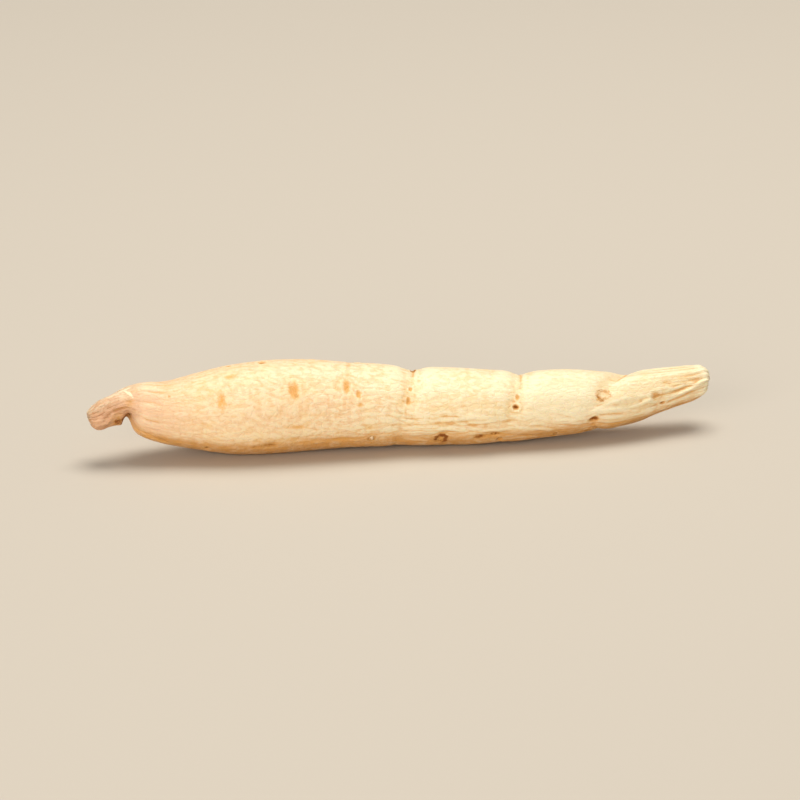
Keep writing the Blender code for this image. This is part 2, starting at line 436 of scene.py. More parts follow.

# %% [markdown]
# ### Folds drawn one by one
#
# Noise gives wrinkles of the right kind, but not in the right places. The folds that catch the eye on
# the near side are drawn one by one instead, as a sculptor draws them: each is a line through a few
# points of the skin. A fold is raised and round, and a crease is sunk, with a narrower bottom.

# %% Drawn folds
# Height in mm, above 0 for a fold and below 0 for a crease, half width in mm, and the points that the
# line runs through, as shares of the length and degrees up from the near side
DRAWN_FOLDS = (
    (0.170, 0.20, ((0.020, -30), (0.034, -2), (0.045, 14))),
    (0.140, 0.17, ((0.012, -12), (0.024, 7), (0.034, 22))),
    (-0.110, 0.28, ((0.074, -52), (0.100, -45), (0.120, -55), (0.145, -68))),
    (-0.035, 0.16, ((0.080, 10), (0.110, -6), (0.150, -14))),
    (-0.030, 0.14, ((0.078, 42), (0.105, 34), (0.140, 28))),
    (-0.085, 0.20, ((0.315, -26), (0.367, -34), (0.415, -36), (0.439, -32))),
    (-0.030, 0.14, ((0.300, -8), (0.330, -9), (0.351, -12))),
    (-0.120, 0.22, ((0.507, 6), (0.531, -6), (0.553, -10), (0.573, -12), (0.589, -6))),
    (-0.130, 0.22, ((0.592, -3), (0.613, -16), (0.633, -16), (0.659, -10), (0.672, -5))),
    (-0.110, 0.20, ((0.555, -28), (0.575, -24), (0.601, -20), (0.611, -16))),
    (0.060, 0.22, ((0.519, 6), (0.553, -2), (0.583, -2), (0.599, 4), (0.621, 4), (0.661, -3))),
    (0.070, 0.22, ((0.553, -18), (0.579, -16), (0.601, -27), (0.643, -24), (0.685, -20), (0.743, -38))),
    (-0.045, 0.15, ((0.688, 7), (0.715, 5), (0.745, 2))),
    (-0.030, 0.14, ((0.539, 20), (0.569, 14), (0.603, 21), (0.627, 18))),
    (-0.080, 0.17, ((0.697, 12), (0.733, 3), (0.762, -10), (0.792, -9))),
    (-0.070, 0.17, ((0.697, -4), (0.725, -18), (0.778, -32))),
    (0.050, 0.17, ((0.764, -16), (0.792, -4), (0.816, 9), (0.840, 20), (0.856, 23))),
    (0.090, 0.65, ((0.806, 14), (0.824, 45), (0.839, 66))),
    (0.100, 0.22, ((0.800, -3), (0.834, 2), (0.858, 0), (0.878, 5), (0.890, 12))),
    (-0.130, 0.20, ((0.792, -22), (0.816, -9), (0.846, -9), (0.864, -11), (0.880, -5))),
    (0.120, 0.18, ((0.882, 12), (0.892, 3), (0.904, -1), (0.920, -2), (0.946, 2), (0.972, 14), (0.990, 30))),
    (-0.120, 0.15, ((0.896, 14), (0.922, 13), (0.942, 14), (0.960, 21), (0.992, 39))),
    (-0.110, 0.15, ((0.882, -8), (0.910, -11), (0.928, -12), (0.946, -10), (0.972, -4), (0.992, 6))),
    (-0.080, 0.14, ((0.912, 42), (0.946, 47), (0.962, 50), (0.990, 52))),
    (-0.060, 0.13, ((0.930, 30), (0.960, 35), (0.990, 44))),
    (0.060, 0.16, ((0.880, -36), (0.920, -36), (0.950, -34), (0.985, -30))),
)
ROUNDED_OVER = 0.008  # share of the length over which a line's corners are rounded
FOLD_ENDS = 0.014  # share of the length over which a fold rises at its ends
CREASE_FALL = 1.1
CREASE_ROUNDING = 0.5

drawn_folds = np.zeros(len(skin_points))
uneven_depth = np.clip(0.75 + 1.1 * lumps(drawn, (1.3, 0.8, 0.8), 11), 0.15, 1.3)
for height, half_width, fold_points in DRAWN_FOLDS:
    fold_shares = [place for place, _ in fold_points]
    fold_turns = [degrees for _, degrees in fold_points]
    near_by = [share + ROUNDED_OVER * part for part in (-1.0, -0.5, 0.0, 0.5, 1.0)]
    course = np.radians(np.mean([np.interp(at, fold_shares, fold_turns) for at in near_by], axis=0))
    aside = (turn - course + math.pi) % math.tau - math.pi
    aside = np.abs(aside) * radius_at(share) / (half_width * MM)
    inside = np.minimum(share - fold_shares[0], fold_shares[-1] - share) / FOLD_ENDS
    shape = valleys(aside, 1.0) if height > 0 else np.exp(-CREASE_FALL * np.hypot(aside, CREASE_ROUNDING))
    drawn_folds += height * MM * shape * np.clip(inside + 0.5, 0, 1) * uneven_depth
tell("drawn folds", drawn_folds)

# %% [markdown]
# ### Growth rings
#
# Four rings pinch the root, where growth slowed, and two more hardly show. The solid has the wide
# waists already. The brush adds the crease at the bottom of each, which is sharp on top of the root and
# faint on its near side, a soft roll of skin on either side of it, and breaks that fade it and bring it
# back round the root. The stain that it leaves is wider than the crease, and darker where the crease is
# deeper: it is partly a stain and partly painted shade.

# %% Ring brush
# Share of the length, depth in mm, how much of it is left underneath, how far the ring leans along
# the root, as a share of the length, and the side that leans towards the tail, in degrees
RINGS = (
    (0.413, 0.018, 0.15, 0.010, 180),
    (0.506, 0.075, 0.35, 0.010, 133),
    (0.675, 0.075, 0.35, 0.018, 113),
    (0.841, 0.050, 1.00, 0.041, 160),
    (0.245, 0.008, 0.10, 0.006, 150),
    (0.600, 0.012, 0.10, 0.006, 140),
)
RING_WOBBLE = 0.09 * MM
CREASE = 0.19 * MM
STAIN = 0.34 * MM
ROLL_AWAY = 0.42 * MM
ROLL = 0.26 * MM
FAINT = 0.04  # what is left of a crease on the near side
ROLL_HEIGHT = 0.35  # share of the crease's depth
# The ring's stain darkens with the crease's depth: partly stain, partly painted shade in the crease.
DARKEST_RING = 0.10  # mm of depth that stain the skin fully

on_top = np.clip(np.sin(turn), 0, 1) ** 7
underneath = np.clip(-np.sin(turn), 0, 1) ** 2
rings = np.zeros(len(skin_points))
ring_mask = np.zeros(len(skin_points))
for i, (place, ring_depth, beneath, lean, towards) in enumerate(RINGS):
    ring_share = FAINT + (1 - FAINT) * (on_top + beneath * underneath)
    wobble = RING_WOBBLE * lumps(drawn * (0, 1, 1), (1, 1.7, 1.7), 20 + i)
    away = (share - place - lean * np.cos(from_turn(towards))) * LENGTH - wobble
    strength = np.clip(0.8 + 0.9 * lumps(drawn * (0, 1, 1), (1, 1.1, 1.1), 40 + i), 0.1, 1.3)
    crease = valleys(away, CREASE) * strength * ring_share
    rolls = valleys(np.abs(away) - ROLL_AWAY, ROLL) * ring_share
    rings += ring_depth * MM * (ROLL_HEIGHT * rolls - crease)
    stain = valleys(away, STAIN) * strength * ring_share
    ring_mask = np.maximum(ring_mask, stain * min(1.0, ring_depth / DARKEST_RING))
tell("rings", rings)

# %% [markdown]
# ### Scars of lost rootlets
#
# Rootlets as thin as thread once grew from the skin. Where one broke off it left a small oval scar,
# wider round the root than along it: a sunk brown middle in a slightly raised rim. Some are only stains
# in the skin, and a few are rings with a pale middle. Those on the near side lie where the picture
# shows them. The far side has more of the same, placed by a seeded draw.

# %% Scar brush
# Share of the length, degrees up from the near side, half widths along and round in mm,
# depth in mm, how brown the middle is, how brown the rim is, and how orange the skin around is
NEAR_SCARS = (
    (0.209, 31, 0.40, 0.80, 0.020, 0.10, 0.00, 0.95),
    (0.229, 67, 0.58, 0.32, 0.015, 0.05, 0.00, 0.85),
    (0.323, 38, 0.42, 0.70, 0.055, 0.28, 0.00, 1.00),
    (0.326, 31, 0.22, 0.26, 0.020, 0.55, 0.00, 0.70),
    (0.407, 44, 0.34, 0.56, 0.040, 0.24, 0.00, 0.90),
    (0.403, 20, 0.20, 0.55, 0.010, 0.00, 0.00, 0.35),
    (0.426, 33, 0.24, 0.34, 0.050, 0.24, 0.05, 0.85),
    (0.429, 18, 0.26, 0.22, 0.020, 0.00, 0.00, 0.55),
    (0.327, -9, 0.60, 0.24, 0.015, 0.00, 0.00, 0.70),
    (0.281, -38, 0.85, 0.40, 0.040, 0.72, 0.00, 1.00),
    (0.258, -39, 0.45, 0.30, 0.030, 0.60, 0.00, 1.00),
    (0.345, -36, 1.30, 0.24, 0.010, 0.12, 0.00, 0.80),
    (0.400, -36, 1.50, 0.26, 0.010, 0.18, 0.00, 0.85),
    # The next two rows darken the crease under the shoulder: partly stain, partly painted shade.
    (0.095, -46, 0.60, 0.26, 0.020, 0.26, 0.00, 0.85),
    (0.125, -56, 0.80, 0.26, 0.020, 0.32, 0.00, 0.90),
    (0.451, -39, 0.34, 0.34, 0.060, 0.60, 0.55, 0.95),
    (0.507, 48, 0.18, 0.26, 0.040, 0.35, 0.05, 0.80),
    (0.505, 27, 0.19, 0.34, 0.050, 0.45, 0.05, 0.95),
    (0.502, 10, 0.15, 0.36, 0.010, 0.00, 0.00, 0.45),
    (0.515, 38, 0.17, 0.22, 0.010, 0.00, 0.00, 0.45),
    (0.561, -41, 0.46, 0.46, 0.030, 0.00, 1.60, 1.00),
    (0.623, -38, 0.60, 0.36, 0.045, 0.85, 0.10, 1.00),
    (0.645, -35, 0.60, 0.26, 0.045, 0.80, 0.00, 1.00),
    (0.634, -37, 1.10, 0.42, 0.010, 0.30, 0.00, 1.00),
    (0.679, 36, 0.17, 0.24, 0.040, 0.45, 0.05, 0.90),
    (0.677, 18, 0.26, 0.23, 0.090, 1.00, 0.15, 1.00),
    (0.675, 52, 0.13, 0.40, 0.010, 0.00, 0.00, 0.35),
    (0.737, -62, 0.30, 0.26, 0.060, 0.70, 0.10, 0.90),
    (0.815, 30, 0.50, 0.46, 0.035, 0.00, 0.42, 0.35),
    (0.806, 22, 0.24, 0.28, 0.020, 0.25, 0.00, 0.85),
    (0.800, -21, 0.50, 0.34, 0.090, 1.00, 0.10, 1.00),
    (0.899, 21, 0.38, 0.30, 0.030, 0.00, 0.34, 0.25),
    (0.910, -10, 0.24, 0.14, 0.070, 0.70, 0.00, 1.00),
    (0.121, 50, 0.13, 0.13, 0.015, 0.80, 0.00, 0.00),
    # The next row is the orange brown patch beside the notch: partly orange tissue, partly painted shade.
    (0.043, -34, 0.50, 0.60, 0.020, 1.00, 0.00, 1.00),
    (0.062, 32, 0.24, 0.24, 0.020, 0.35, 0.00, 0.80),
    (0.050, 16, 0.75, 0.12, 0.080, 0.35, 0.00, 0.50),
)
FAR_SCARS = 20
FAR_SHARES = (0.15, 0.94)
FAR_DEGREES = (80, 320)
FAR_HALF_WIDTHS = (0.20, 0.44)  # mm
FAR_RINGED = 0.25  # share of them
# Distances from the middle of a scar, where 1 is its half width
MIDDLE = 0.70
RIM, RIM_WIDTH = 1.20, 0.36
RIM_STAIN, RIM_STAIN_WIDTH = 0.85, 0.42
HALO = 1.15
HALO_FALL = 1.35  # how steeply the orange fades there
MIDDLE_DEPTH, RIM_HEIGHT = 1.6, 0.6  # times the scar's depth
UNDER_BROWN = 1.8  # orange under each brown, times the brown

draw = random.Random(23)
scars = list(NEAR_SCARS)
for i in range(FAR_SCARS):
    place = FAR_SHARES[0] + (FAR_SHARES[1] - FAR_SHARES[0]) * (i + draw.random()) / FAR_SCARS
    degrees = draw.uniform(*FAR_DEGREES)
    half_round = draw.uniform(*FAR_HALF_WIDTHS)
    half_along = half_round * draw.uniform(0.55, 1.0)
    brown = draw.random()
    ringed = draw.random() < FAR_RINGED
    scars.append(
        (place, degrees, half_along, half_round, 0.03 + 0.08 * brown,
         0.15 if ringed else brown, 0.85 if ringed else 0.2, 0.4 + 0.4 * brown)
    )

pits = np.zeros(len(skin_points))
brown_mask = np.zeros(len(skin_points))
orange_mask = np.zeros(len(skin_points))
ragged = 0.22 * lumps(drawn, (0.35, 0.35, 0.35), 9)
one_sided = np.clip(0.75 + 1.3 * lumps(drawn, (0.9, 0.9, 0.9), 10), 0.15, 1.2)
for place, degrees, half_along, half_round, pit, brown, rim_brown, orange in scars:
    aside = (share - place) * LENGTH / (half_along * MM)
    around = from_turn(degrees) * float(radius_at(place)) / (half_round * MM)
    away = np.hypot(aside, around) * (1 + ragged)
    middle = valleys(away, MIDDLE)
    rim = valleys(away - RIM, RIM_WIDTH) * one_sided
    pits += pit * MM * (RIM_HEIGHT * rim - MIDDLE_DEPTH * middle)
    rim_stain = rim_brown * valleys(away - RIM_STAIN, RIM_STAIN_WIDTH) * one_sided
    brown_mask = np.maximum.reduce([brown_mask, brown * middle, rim_stain])
    orange_mask = np.maximum(orange_mask, orange * np.exp(-((away / HALO) ** HALO_FALL)))
orange_mask = np.maximum(orange_mask, np.minimum(UNDER_BROWN * brown_mask, 1))
tell("scars", pits)

# %% [markdown]
# ### The crown
#
# At the crown the skin is drawn together round the stub of the stem, and puckers like the neck of a
# tied sack. The stub is grooved and lumpy and ends in a dished scar. Under the neck a notch cuts in, and
# its edge stands up as a lip.

# %% Crown brushes
NECK = 0.072  # share of the length where the stub meets the body
PUCKERS, PUCKER_DEPTH = 13, 0.060  # number round the neck, mm
STUB_GROOVES, GROOVE_DEPTH = 9, 0.034  # number round the stub, mm
NOTCH_FACES = -50  # degrees
LIP_HEIGHT, NOTCH_DEPTH = 0.10, 0.12  # mm
LUMP_HEIGHT = 0.055  # mm
DISH_DEPTH = 0.12  # mm
END_FACE = 0.004  # share of the length at either end that is its broken face

neck = valleys(share - NECK - 0.022, 0.030)
pucker_sway = 1.6 * lumps(drawn, (3.0, 2.0, 2.0), 12)
puckers = -PUCKER_DEPTH * MM * neck * valleys(np.sin(PUCKERS / 2 * turn + pucker_sway), 0.45)
on_stub = np.clip((NECK - share) / 0.02, 0, 1)
grooves = valleys(np.sin(STUB_GROOVES / 2 * turn + 2.2 * pucker_sway), 0.40)
puckers -= GROOVE_DEPTH * MM * on_stub * grooves
at_notch = valleys(from_turn(NOTCH_FACES), 0.75)
raised_edge = LIP_HEIGHT * MM * valleys(share - NOTCH - 0.016, 0.007)
lip = at_notch * (raised_edge - NOTCH_DEPTH * MM * valleys(share - NOTCH, 0.006))
# Where the notch is coloured dark brown and orange: painted shade.
notch_shade = at_notch * valleys(share - NOTCH, 0.012)
stub_lumps = LUMP_HEIGHT * MM * on_stub * lumps(drawn, (0.55, 0.60, 0.60), 13)
inwards = np.clip(1 - reach / radius_at(share), 0, 1)
at_crown_end = (share < END_FACE) * inwards
dish = -DISH_DEPTH * MM * np.clip(at_crown_end * 1.5, 0, 1)
tell("crown", puckers + lip + stub_lumps + dish)

# %% [markdown]
# ### The tail and the fine crinkles
#
# The tail is snapped off: its face is rough, pale and starchy, and the rim round it frayed. All over,
# the skin has fine crinkles too small to follow one by one, so plain noise makes them. Between the
# crinkles runs a net of hair-fine creases, clearest on the plump part.

# %% Tail and crinkle brushes
# Size of the lumps in mm, height in mm, and the noise's seed
CRINKLES = (((0.60, 0.42, 0.42), 0.015, 16), ((0.26, 0.22, 0.22), 0.007, 17))
NET = ((0.00, 0.6), (0.15, 1.0), (0.42, 1.0), (0.60, 0.50), (1.00, 0.25))
NET_DEPTH, NET_SEEDS = 0.013, (30, 31, 32)  # mm
SWELL, FRAY = 0.050, 0.075  # mm
BREAK_LUMPS, BREAK_GRIT = 0.30, 0.06  # mm
TAIL_RIM, TAIL_RIM_WIDTH = 0.972, 0.016  # shares of the length

at_tail_end = (share > 1 - END_FACE) * inwards
snapped = BREAK_LUMPS * MM * at_tail_end * lumps(skin_points, (0.45, 0.45, 0.45), 14)
snapped += BREAK_GRIT * MM * np.clip(at_tail_end * 8, 0, 1) * lumps(skin_points, (0.18, 0.18, 0.18), 15)
tail_rim = np.clip((share - TAIL_RIM) / TAIL_RIM_WIDTH, 0, 1) * (1 - np.clip(at_tail_end * 6, 0, 1))
frayed = FRAY * MM * tail_rim * lumps(drawn, (0.7, 0.30, 0.30), 19)
crinkles = sum(height * MM * lumps(drawn, size, seed) for size, height, seed in CRINKLES)
for seed in NET_SEEDS:
    crinkles -= NET_DEPTH * MM * profile(NET, share) * wrinkle(1.5, 0.62, 0.16, seed)
swell = SWELL * MM * lumps(drawn, (3.6, 2.4, 2.4), 18)
tell("tail", snapped + frayed)
tell("crinkles", crinkles)

# %% [markdown]
# All brushes are added up and the vertices moved. Where the root lies on the table nothing may go below
# it, so those vertices are lifted back.

# %% Move the skin
moves = wrinkles + drawn_folds + rings + pits + crinkles + swell
moves += puckers + lip + stub_lumps + dish + snapped + frayed
sculpted = skin_points + normals * moves[:, None]
sculpted[:, 2] = np.maximum(sculpted[:, 2], 0)
root.data.vertices.foreach_set("co", sculpted.ravel())
root.data.update()
work_on(root)
bpy.ops.object.shade_smooth()
tell("all brushes", moves)

# %% [markdown]
# ### Hollows
#
# Dust and brown juice dry in the hollows, and the tops of the folds are rubbed pale; the colours laid on
# from this also add painted shade in the hollows and a painted highlight on the tops. To know which is
# which, each vertex is compared with the average of its neighbours: where they lie further out, it is
# in a hollow. Averaging over more and more neighbours finds wider hollows.


# %% Find the hollows
HOLLOWS = ((3, 0.013), (14, 0.032))  # rounds of averaging, and the depth in mm that counts as 1
HOLLOW_RANGE = (-1, 1.5)


def neighbour_average(values, edges, counts, times):
    """Each value averaged with those at the other ends of its edges, so many times."""
    for _ in range(times):
        total = values.copy()
        np.add.at(total, edges[:, 0], values[edges[:, 1]])
        np.add.at(total, edges[:, 1], values[edges[:, 0]])
        values = total / (counts + 1).reshape(-1, *[1] * (values.ndim - 1))
    return values


edges = rows_of(root.data.edges, "vertices", 2, int)
counts = np.bincount(edges.ravel(), minlength=len(skin_points))
sculpted_normals = rows_of(root.data.vertex_normals, "vector", 3)
hollow = np.zeros(len(skin_points))
for rounds, usual_depth in HOLLOWS:
    to_average = neighbour_average(sculpted, edges, counts, rounds) - sculpted
    hollow += (to_average * sculpted_normals).sum(1) / (usual_depth * MM)
hollow = np.clip(hollow, *HOLLOW_RANGE)
print("hollow:", np.percentile(hollow, (5, 50, 95)).round(2))


# %% Keep the masks on the skin
RING_SOFTER, RING_ORANGE = 0.7, 0.45  # a ring stains the skin widely and is no dark line
# How strong the brown painted shade in the notch under the neck is.
NOTCH_SHADE = 0.95


def keep_mask(piece, name, values):
    """Stores one number on every vertex for the material to read."""
    mask = piece.data.attributes.new(name, "FLOAT", "POINT")
    mask.data.foreach_set("value", np.ascontiguousarray(values, np.float32))


keep_mask(root, "hollow", hollow - RING_SOFTER * ring_mask)
# The brown and orange masks also carry the painted shade of the notch.
keep_mask(root, "brown", np.maximum(brown_mask, NOTCH_SHADE * notch_shade))
keep_mask(root, "orange", np.maximum.reduce([orange_mask, RING_ORANGE * ring_mask, notch_shade]))
keep_mask(root, "share", share)
keep_mask(root, "upwards", np.sin(turn))
keep_mask(root, "broken", np.clip(at_tail_end * 6, 0, 1))
keep_mask(root, "tail_rim", tail_rim)
keep_mask(root, "stub", np.clip((NECK + 0.012 - share) / 0.03, 0, 1))
rod_place = root.data.attributes.new("drawn", "FLOAT_VECTOR", "POINT")
rod_place.data.foreach_set("vector", np.ascontiguousarray(drawn, np.float32).ravel())
print("masks:", [mask.name for mask in root.data.attributes if mask.data_type == "FLOAT"])

# %% [markdown]
# ## The skin's material
#
# Dried pseudostellaria is cream to straw yellow, with a pinkish beige cast on the plump part near the
# crown and a paler near side before the last ring. Low on the sides it turns orange brown, partly stain
# and partly painted shade, scars are brown, creases are brown from dust and painted shade, and the skin
# has a dull, slightly waxy gloss. Light also goes a little way into the flesh, which a small subsurface
# weight gives.
#
# The node tree is built by a few helpers, so that each line below reads as one step of the colour.
# The fibrous grain, which the loose bits need too, is a node group: made once, and placed in each
# material with its own values.

# %% Fibrous grain
FIBROUS_GRAIN = bpy.data.node_groups.new("fibrous_grain", "ShaderNodeTree")
for socket, kind in (("Place", "Vector"), ("Stretch", "Vector"), ("Scale", "Float")):
    FIBROUS_GRAIN.interface.new_socket(socket, in_out="INPUT", socket_type="NodeSocket" + kind)
FIBROUS_GRAIN.interface.new_socket("Grain", in_out="OUTPUT", socket_type="NodeSocketFloat")
given = FIBROUS_GRAIN.nodes.new("NodeGroupInput").outputs
stretch = FIBROUS_GRAIN.nodes.new("ShaderNodeMapping")
strands = FIBROUS_GRAIN.nodes.new("ShaderNodeTexNoise")
strands.inputs["Detail"].default_value = 4.0
strands.inputs["Roughness"].default_value = 0.6
result = FIBROUS_GRAIN.nodes.new("NodeGroupOutput").inputs
for start, end in (
    (given["Place"], stretch.inputs["Vector"]),
    (given["Stretch"], stretch.inputs["Scale"]),
    (stretch.outputs["Vector"], strands.inputs["Vector"]),
    (given["Scale"], strands.inputs["Scale"]),
    (strands.outputs["Fac"], result["Grain"]),
):
    FIBROUS_GRAIN.links.new(start, end)
print("fibrous grain:", len(FIBROUS_GRAIN.links), "links")


# %% Node helpers
class Tree:
    """Adds nodes to a material's tree and joins them."""

    def __init__(self, name):
        self.material = bpy.data.materials.new(name)
        self.material.use_nodes = True
        self.nodes = self.material.node_tree.nodes
        self.links = self.material.node_tree.links
        self.shader = self.nodes["Principled BSDF"]

    def feed(self, socket, value):
        """Joins a socket to another one, or sets it to a plain value."""
        if isinstance(value, bpy.types.NodeSocket):
            self.links.new(value, socket)
        else:
            socket.default_value = value

    def add(self, kind, output, inputs, **settings):
        """Adds a node with these settings, feeds its inputs and gives one of its outputs."""
        node = self.nodes.new("ShaderNode" + kind)
        for setting, value in settings.items():
            setattr(node, setting, value)
        for name, value in inputs.items():
            self.feed(node.inputs[name], value)
        return node.outputs[output]

    def attribute(self, name, output="Fac"):
        """What a mask says at each point."""
        return self.add("Attribute", output, {}, attribute_name=name)

    def object_place(self):
        """Each point's place on the object."""
        return self.add("TexCoord", "Object", {})

    def stretched(self, place, scale):
        """The place, scaled along each axis, so that a pattern there is drawn out."""
        return self.add("Mapping", "Vector", {"Vector": place, "Scale": scale})

    def noise(self, place, scale, detail, roughness=0.55):
        """Cloudy noise from 0 to 1, with so many clouds to a metre."""
        inputs = {"Vector": place, "Scale": scale, "Detail": detail, "Roughness": roughness}
        return self.add("TexNoise", "Fac", inputs)

    def fibrous(self, place, stretch, scale):
        """The fibrous grain, drawn out where the stretch is below 1."""
        inputs = {"Place": place, "Stretch": stretch, "Scale": scale}
        return self.add("Group", "Grain", inputs, node_tree=FIBROUS_GRAIN)

    def cells(self, place, scale):
        """How far each point is from the edges of irregular cells."""
        inputs = {"Vector": place, "Scale": scale}
        return self.add("TexVoronoi", "Distance", inputs, feature="DISTANCE_TO_EDGE")

    def shifted(self, place, noise_scale, reach):
        """The place, pushed about by noise, so that straight edges wander."""
        push = self.add("TexNoise", "Color", {"Vector": place, "Scale": noise_scale})
        inputs = {0: push, 1: (reach, reach, reach), 2: place}
        return self.add("VectorMath", 0, inputs, operation="MULTIPLY_ADD")

    def ramp(self, value, start, end, low=0.0, high=1.0):
        """The value's range from start to end becomes low to high, and stays there outside it."""
        inputs = {"Value": value, "From Min": start, "From Max": end, "To Min": low, "To Max": high}
        return self.add("MapRange", "Result", inputs, interpolation_type="SMOOTHSTEP")

    def maths(self, kind, first, second):
        """Two values put together by one of the Math node's operations."""
        return self.add("Math", 0, {0: first, 1: second}, operation=kind)

    def times(self, first, second):
        """One value times another."""
        return self.maths("MULTIPLY", first, second)

    def mix(self, share, below, above):
        """The colour above laid over the one below, as thick as the share says."""
        return self.add("Mix", 2, {"Factor": share, 6: below, 7: above}, data_type="RGBA")

    def bump(self, height, strength, distance, normal=None):
        """Normals tilted as if the surface rose and fell by the distance."""
        inputs = {"Height": height, "Strength": strength, "Distance": distance}
        if normal:
            inputs["Normal"] = normal
        return self.add("Bump", "Normal", inputs)


# %% Colours and patterns
CREAM = (0.87, 0.73, 0.46, 1)
PEACH = (0.86, 0.57, 0.31, 1)
STRAW = (0.84, 0.59, 0.27, 1)
PINK = (0.83, 0.53, 0.33, 1)
PALE_RIDGE = (0.92, 0.81, 0.56, 1)
TAN = (0.72, 0.39, 0.14, 1)
ORANGE_BROWN = (0.72, 0.36, 0.10, 1)
SCAR_ORANGE = (0.78, 0.40, 0.10, 1)
SCAR_BROWN = (0.24, 0.062, 0.004, 1)
STUB_PINK = (0.63, 0.34, 0.19, 1)
STUB_GREY = (0.40, 0.19, 0.08, 1)
STARCH = (0.90, 0.80, 0.58, 1)
PER_MM = 1 / MM

skin = Tree("dried_skin")
rod = skin.attribute("drawn", "Vector")
share_of = skin.attribute("share")
upwards = skin.attribute("upwards")
hollow_of = skin.attribute("hollow")
clouds = skin.noise(rod, 0.40 * PER_MM, 3.0)
streaks = skin.fibrous(rod, (0.12, 1, 1), 2.6 * PER_MM)
mottle = skin.noise(rod, 1.3 * PER_MM, 5.0, 0.6)
specks = skin.noise(rod, 6.0 * PER_MM, 2.0, 0.5)
grain = skin.noise(rod, 5.0 * PER_MM, 4.0, 0.6)

# %% [markdown]
# The colours are laid over one another, each only where a pattern or a mask lets it show. First comes
# the ground: cream, peachy on the plump part and low down, where the peach is partly painted shade,
# with clouds and streaks of straw and a fine tan grain.

# %% Ground
plump = skin.ramp(share_of, 0.58, 0.36, 0.12, 0.72)
# Darker and peachier towards the bottom: partly painted shade.
lower = skin.ramp(upwards, 0.35, -0.75)
peachy = skin.times(skin.maths("MAXIMUM", plump, lower), skin.ramp(mottle, 0.30, 0.62, 0.55, 1.0))
colour = skin.mix(peachy, CREAM, PEACH)
colour = skin.mix(skin.ramp(clouds, 0.42, 0.66, 0.0, 0.45), colour, STRAW)
pinkish = skin.times(skin.ramp(mottle, 0.62, 0.42, 0.0, 0.5), plump)
colour = skin.mix(pinkish, colour, PINK)
streaked = skin.times(skin.ramp(streaks, 0.46, 0.66), skin.ramp(share_of, 0.15, 0.50, 0.14, 0.22))
colour = skin.mix(streaked, colour, STRAW)
grainy = skin.times(skin.ramp(grain, 0.48, 0.66), skin.ramp(share_of, 0.42, 0.62, 0.32, 0.14))
colour = skin.mix(grainy, colour, TAN)

# %% [markdown]
# Next come wear, dust and painted light: pale ridges, rubbed pale and with a painted highlight, tan
# creases of dust and painted shade, a paler near side, the pink shoulder with a painted highlight on top,
# the orange brown low down, partly stain and partly painted shade, and painted shade in the darkest
# hollows.

# %% Wear, dust and painted light
contrast = skin.ramp(share_of, 0.30, 0.52, 0.60, 1.0)
# Fold tops are rubbed pale and get a painted highlight; hollows get dust and painted shade in tan.
pale_tops_and_highlight = skin.times(skin.ramp(hollow_of, -0.1, -0.9, 0.0, 0.75), contrast)
dusty_and_shaded_hollows = skin.times(skin.ramp(hollow_of, 0.15, 1.1, 0.0, 0.70), contrast)
colour = skin.mix(pale_tops_and_highlight, colour, PALE_RIDGE)
colour = skin.mix(dusty_and_shaded_hollows, colour, TAN)
# Paler on the near, upper side between the last two rings.
paler_near_side = skin.times(skin.ramp(share_of, 0.68, 0.72), skin.ramp(share_of, 0.86, 0.80))
paler_near_side = skin.times(paler_near_side, skin.ramp(upwards, -0.50, 0.05, 0.0, 0.65))
paler_near_side = skin.times(paler_near_side, skin.ramp(upwards, 0.95, 0.50, 0.15, 1.0))
colour = skin.mix(paler_near_side, colour, PALE_RIDGE)
shoulder = skin.times(skin.ramp(share_of, 0.20, 0.08), skin.ramp(mottle, 0.30, 0.65, 0.45, 0.90))
# The shoulder's top keeps less pink and stays paler: a painted highlight.
shoulder = skin.times(shoulder, skin.ramp(upwards, 0.98, 0.75, 0.25, 1.0))
colour = skin.mix(shoulder, colour, PINK)
# Orange brown low on the sides: partly stain, partly painted shade.
low_stain_and_shade = skin.times(skin.ramp(upwards, -0.34, -0.70), skin.ramp(mottle, 0.34, 0.60, 0.50, 0.95))
colour = skin.mix(low_stain_and_shade, colour, ORANGE_BROWN)
# Painted shade, orange brown, in the deepest hollows.
colour = skin.mix(skin.ramp(hollow_of, 0.9, 1.5, 0.0, 0.45), colour, ORANGE_BROWN)

# %% [markdown]
# The stub is pinker and greyer than the root, with painted shade in grey in its folds and a painted
# highlight on top. The scars go over everything but the specks, the frayed rim, which is paler and has
# a painted highlight, and the broken face of the tail. Blotches make their edges uneven.

# %% Stub, scars and broken tail
stub = skin.attribute("stub")
colour = skin.mix(skin.times(stub, skin.ramp(mottle, 0.30, 0.62, 0.60, 0.95)), colour, STUB_PINK)
# A painted highlight, pale, along the top of the stub.
painted_stub_highlight = skin.times(skin.ramp(upwards, 0.25, 1.05), skin.ramp(mottle, 0.42, 0.60, 0.05, 0.65))
colour = skin.mix(skin.times(stub, painted_stub_highlight), colour, PALE_RIDGE)
# Painted shade, grey, in the stub's folds; the grain below is the stub's own grey.
colour = skin.mix(skin.times(stub, skin.ramp(hollow_of, 0.3, 1.3, 0.0, 0.55)), colour, STUB_GREY)
colour = skin.mix(skin.times(stub, skin.ramp(grain, 0.52, 0.66, 0.0, 0.45)), colour, STUB_GREY)
blotches = skin.noise(rod, 4.0 * PER_MM, 4.0, 0.7)
uneven = skin.ramp(blotches, 0.30, 0.70, 0.45, 1.45)
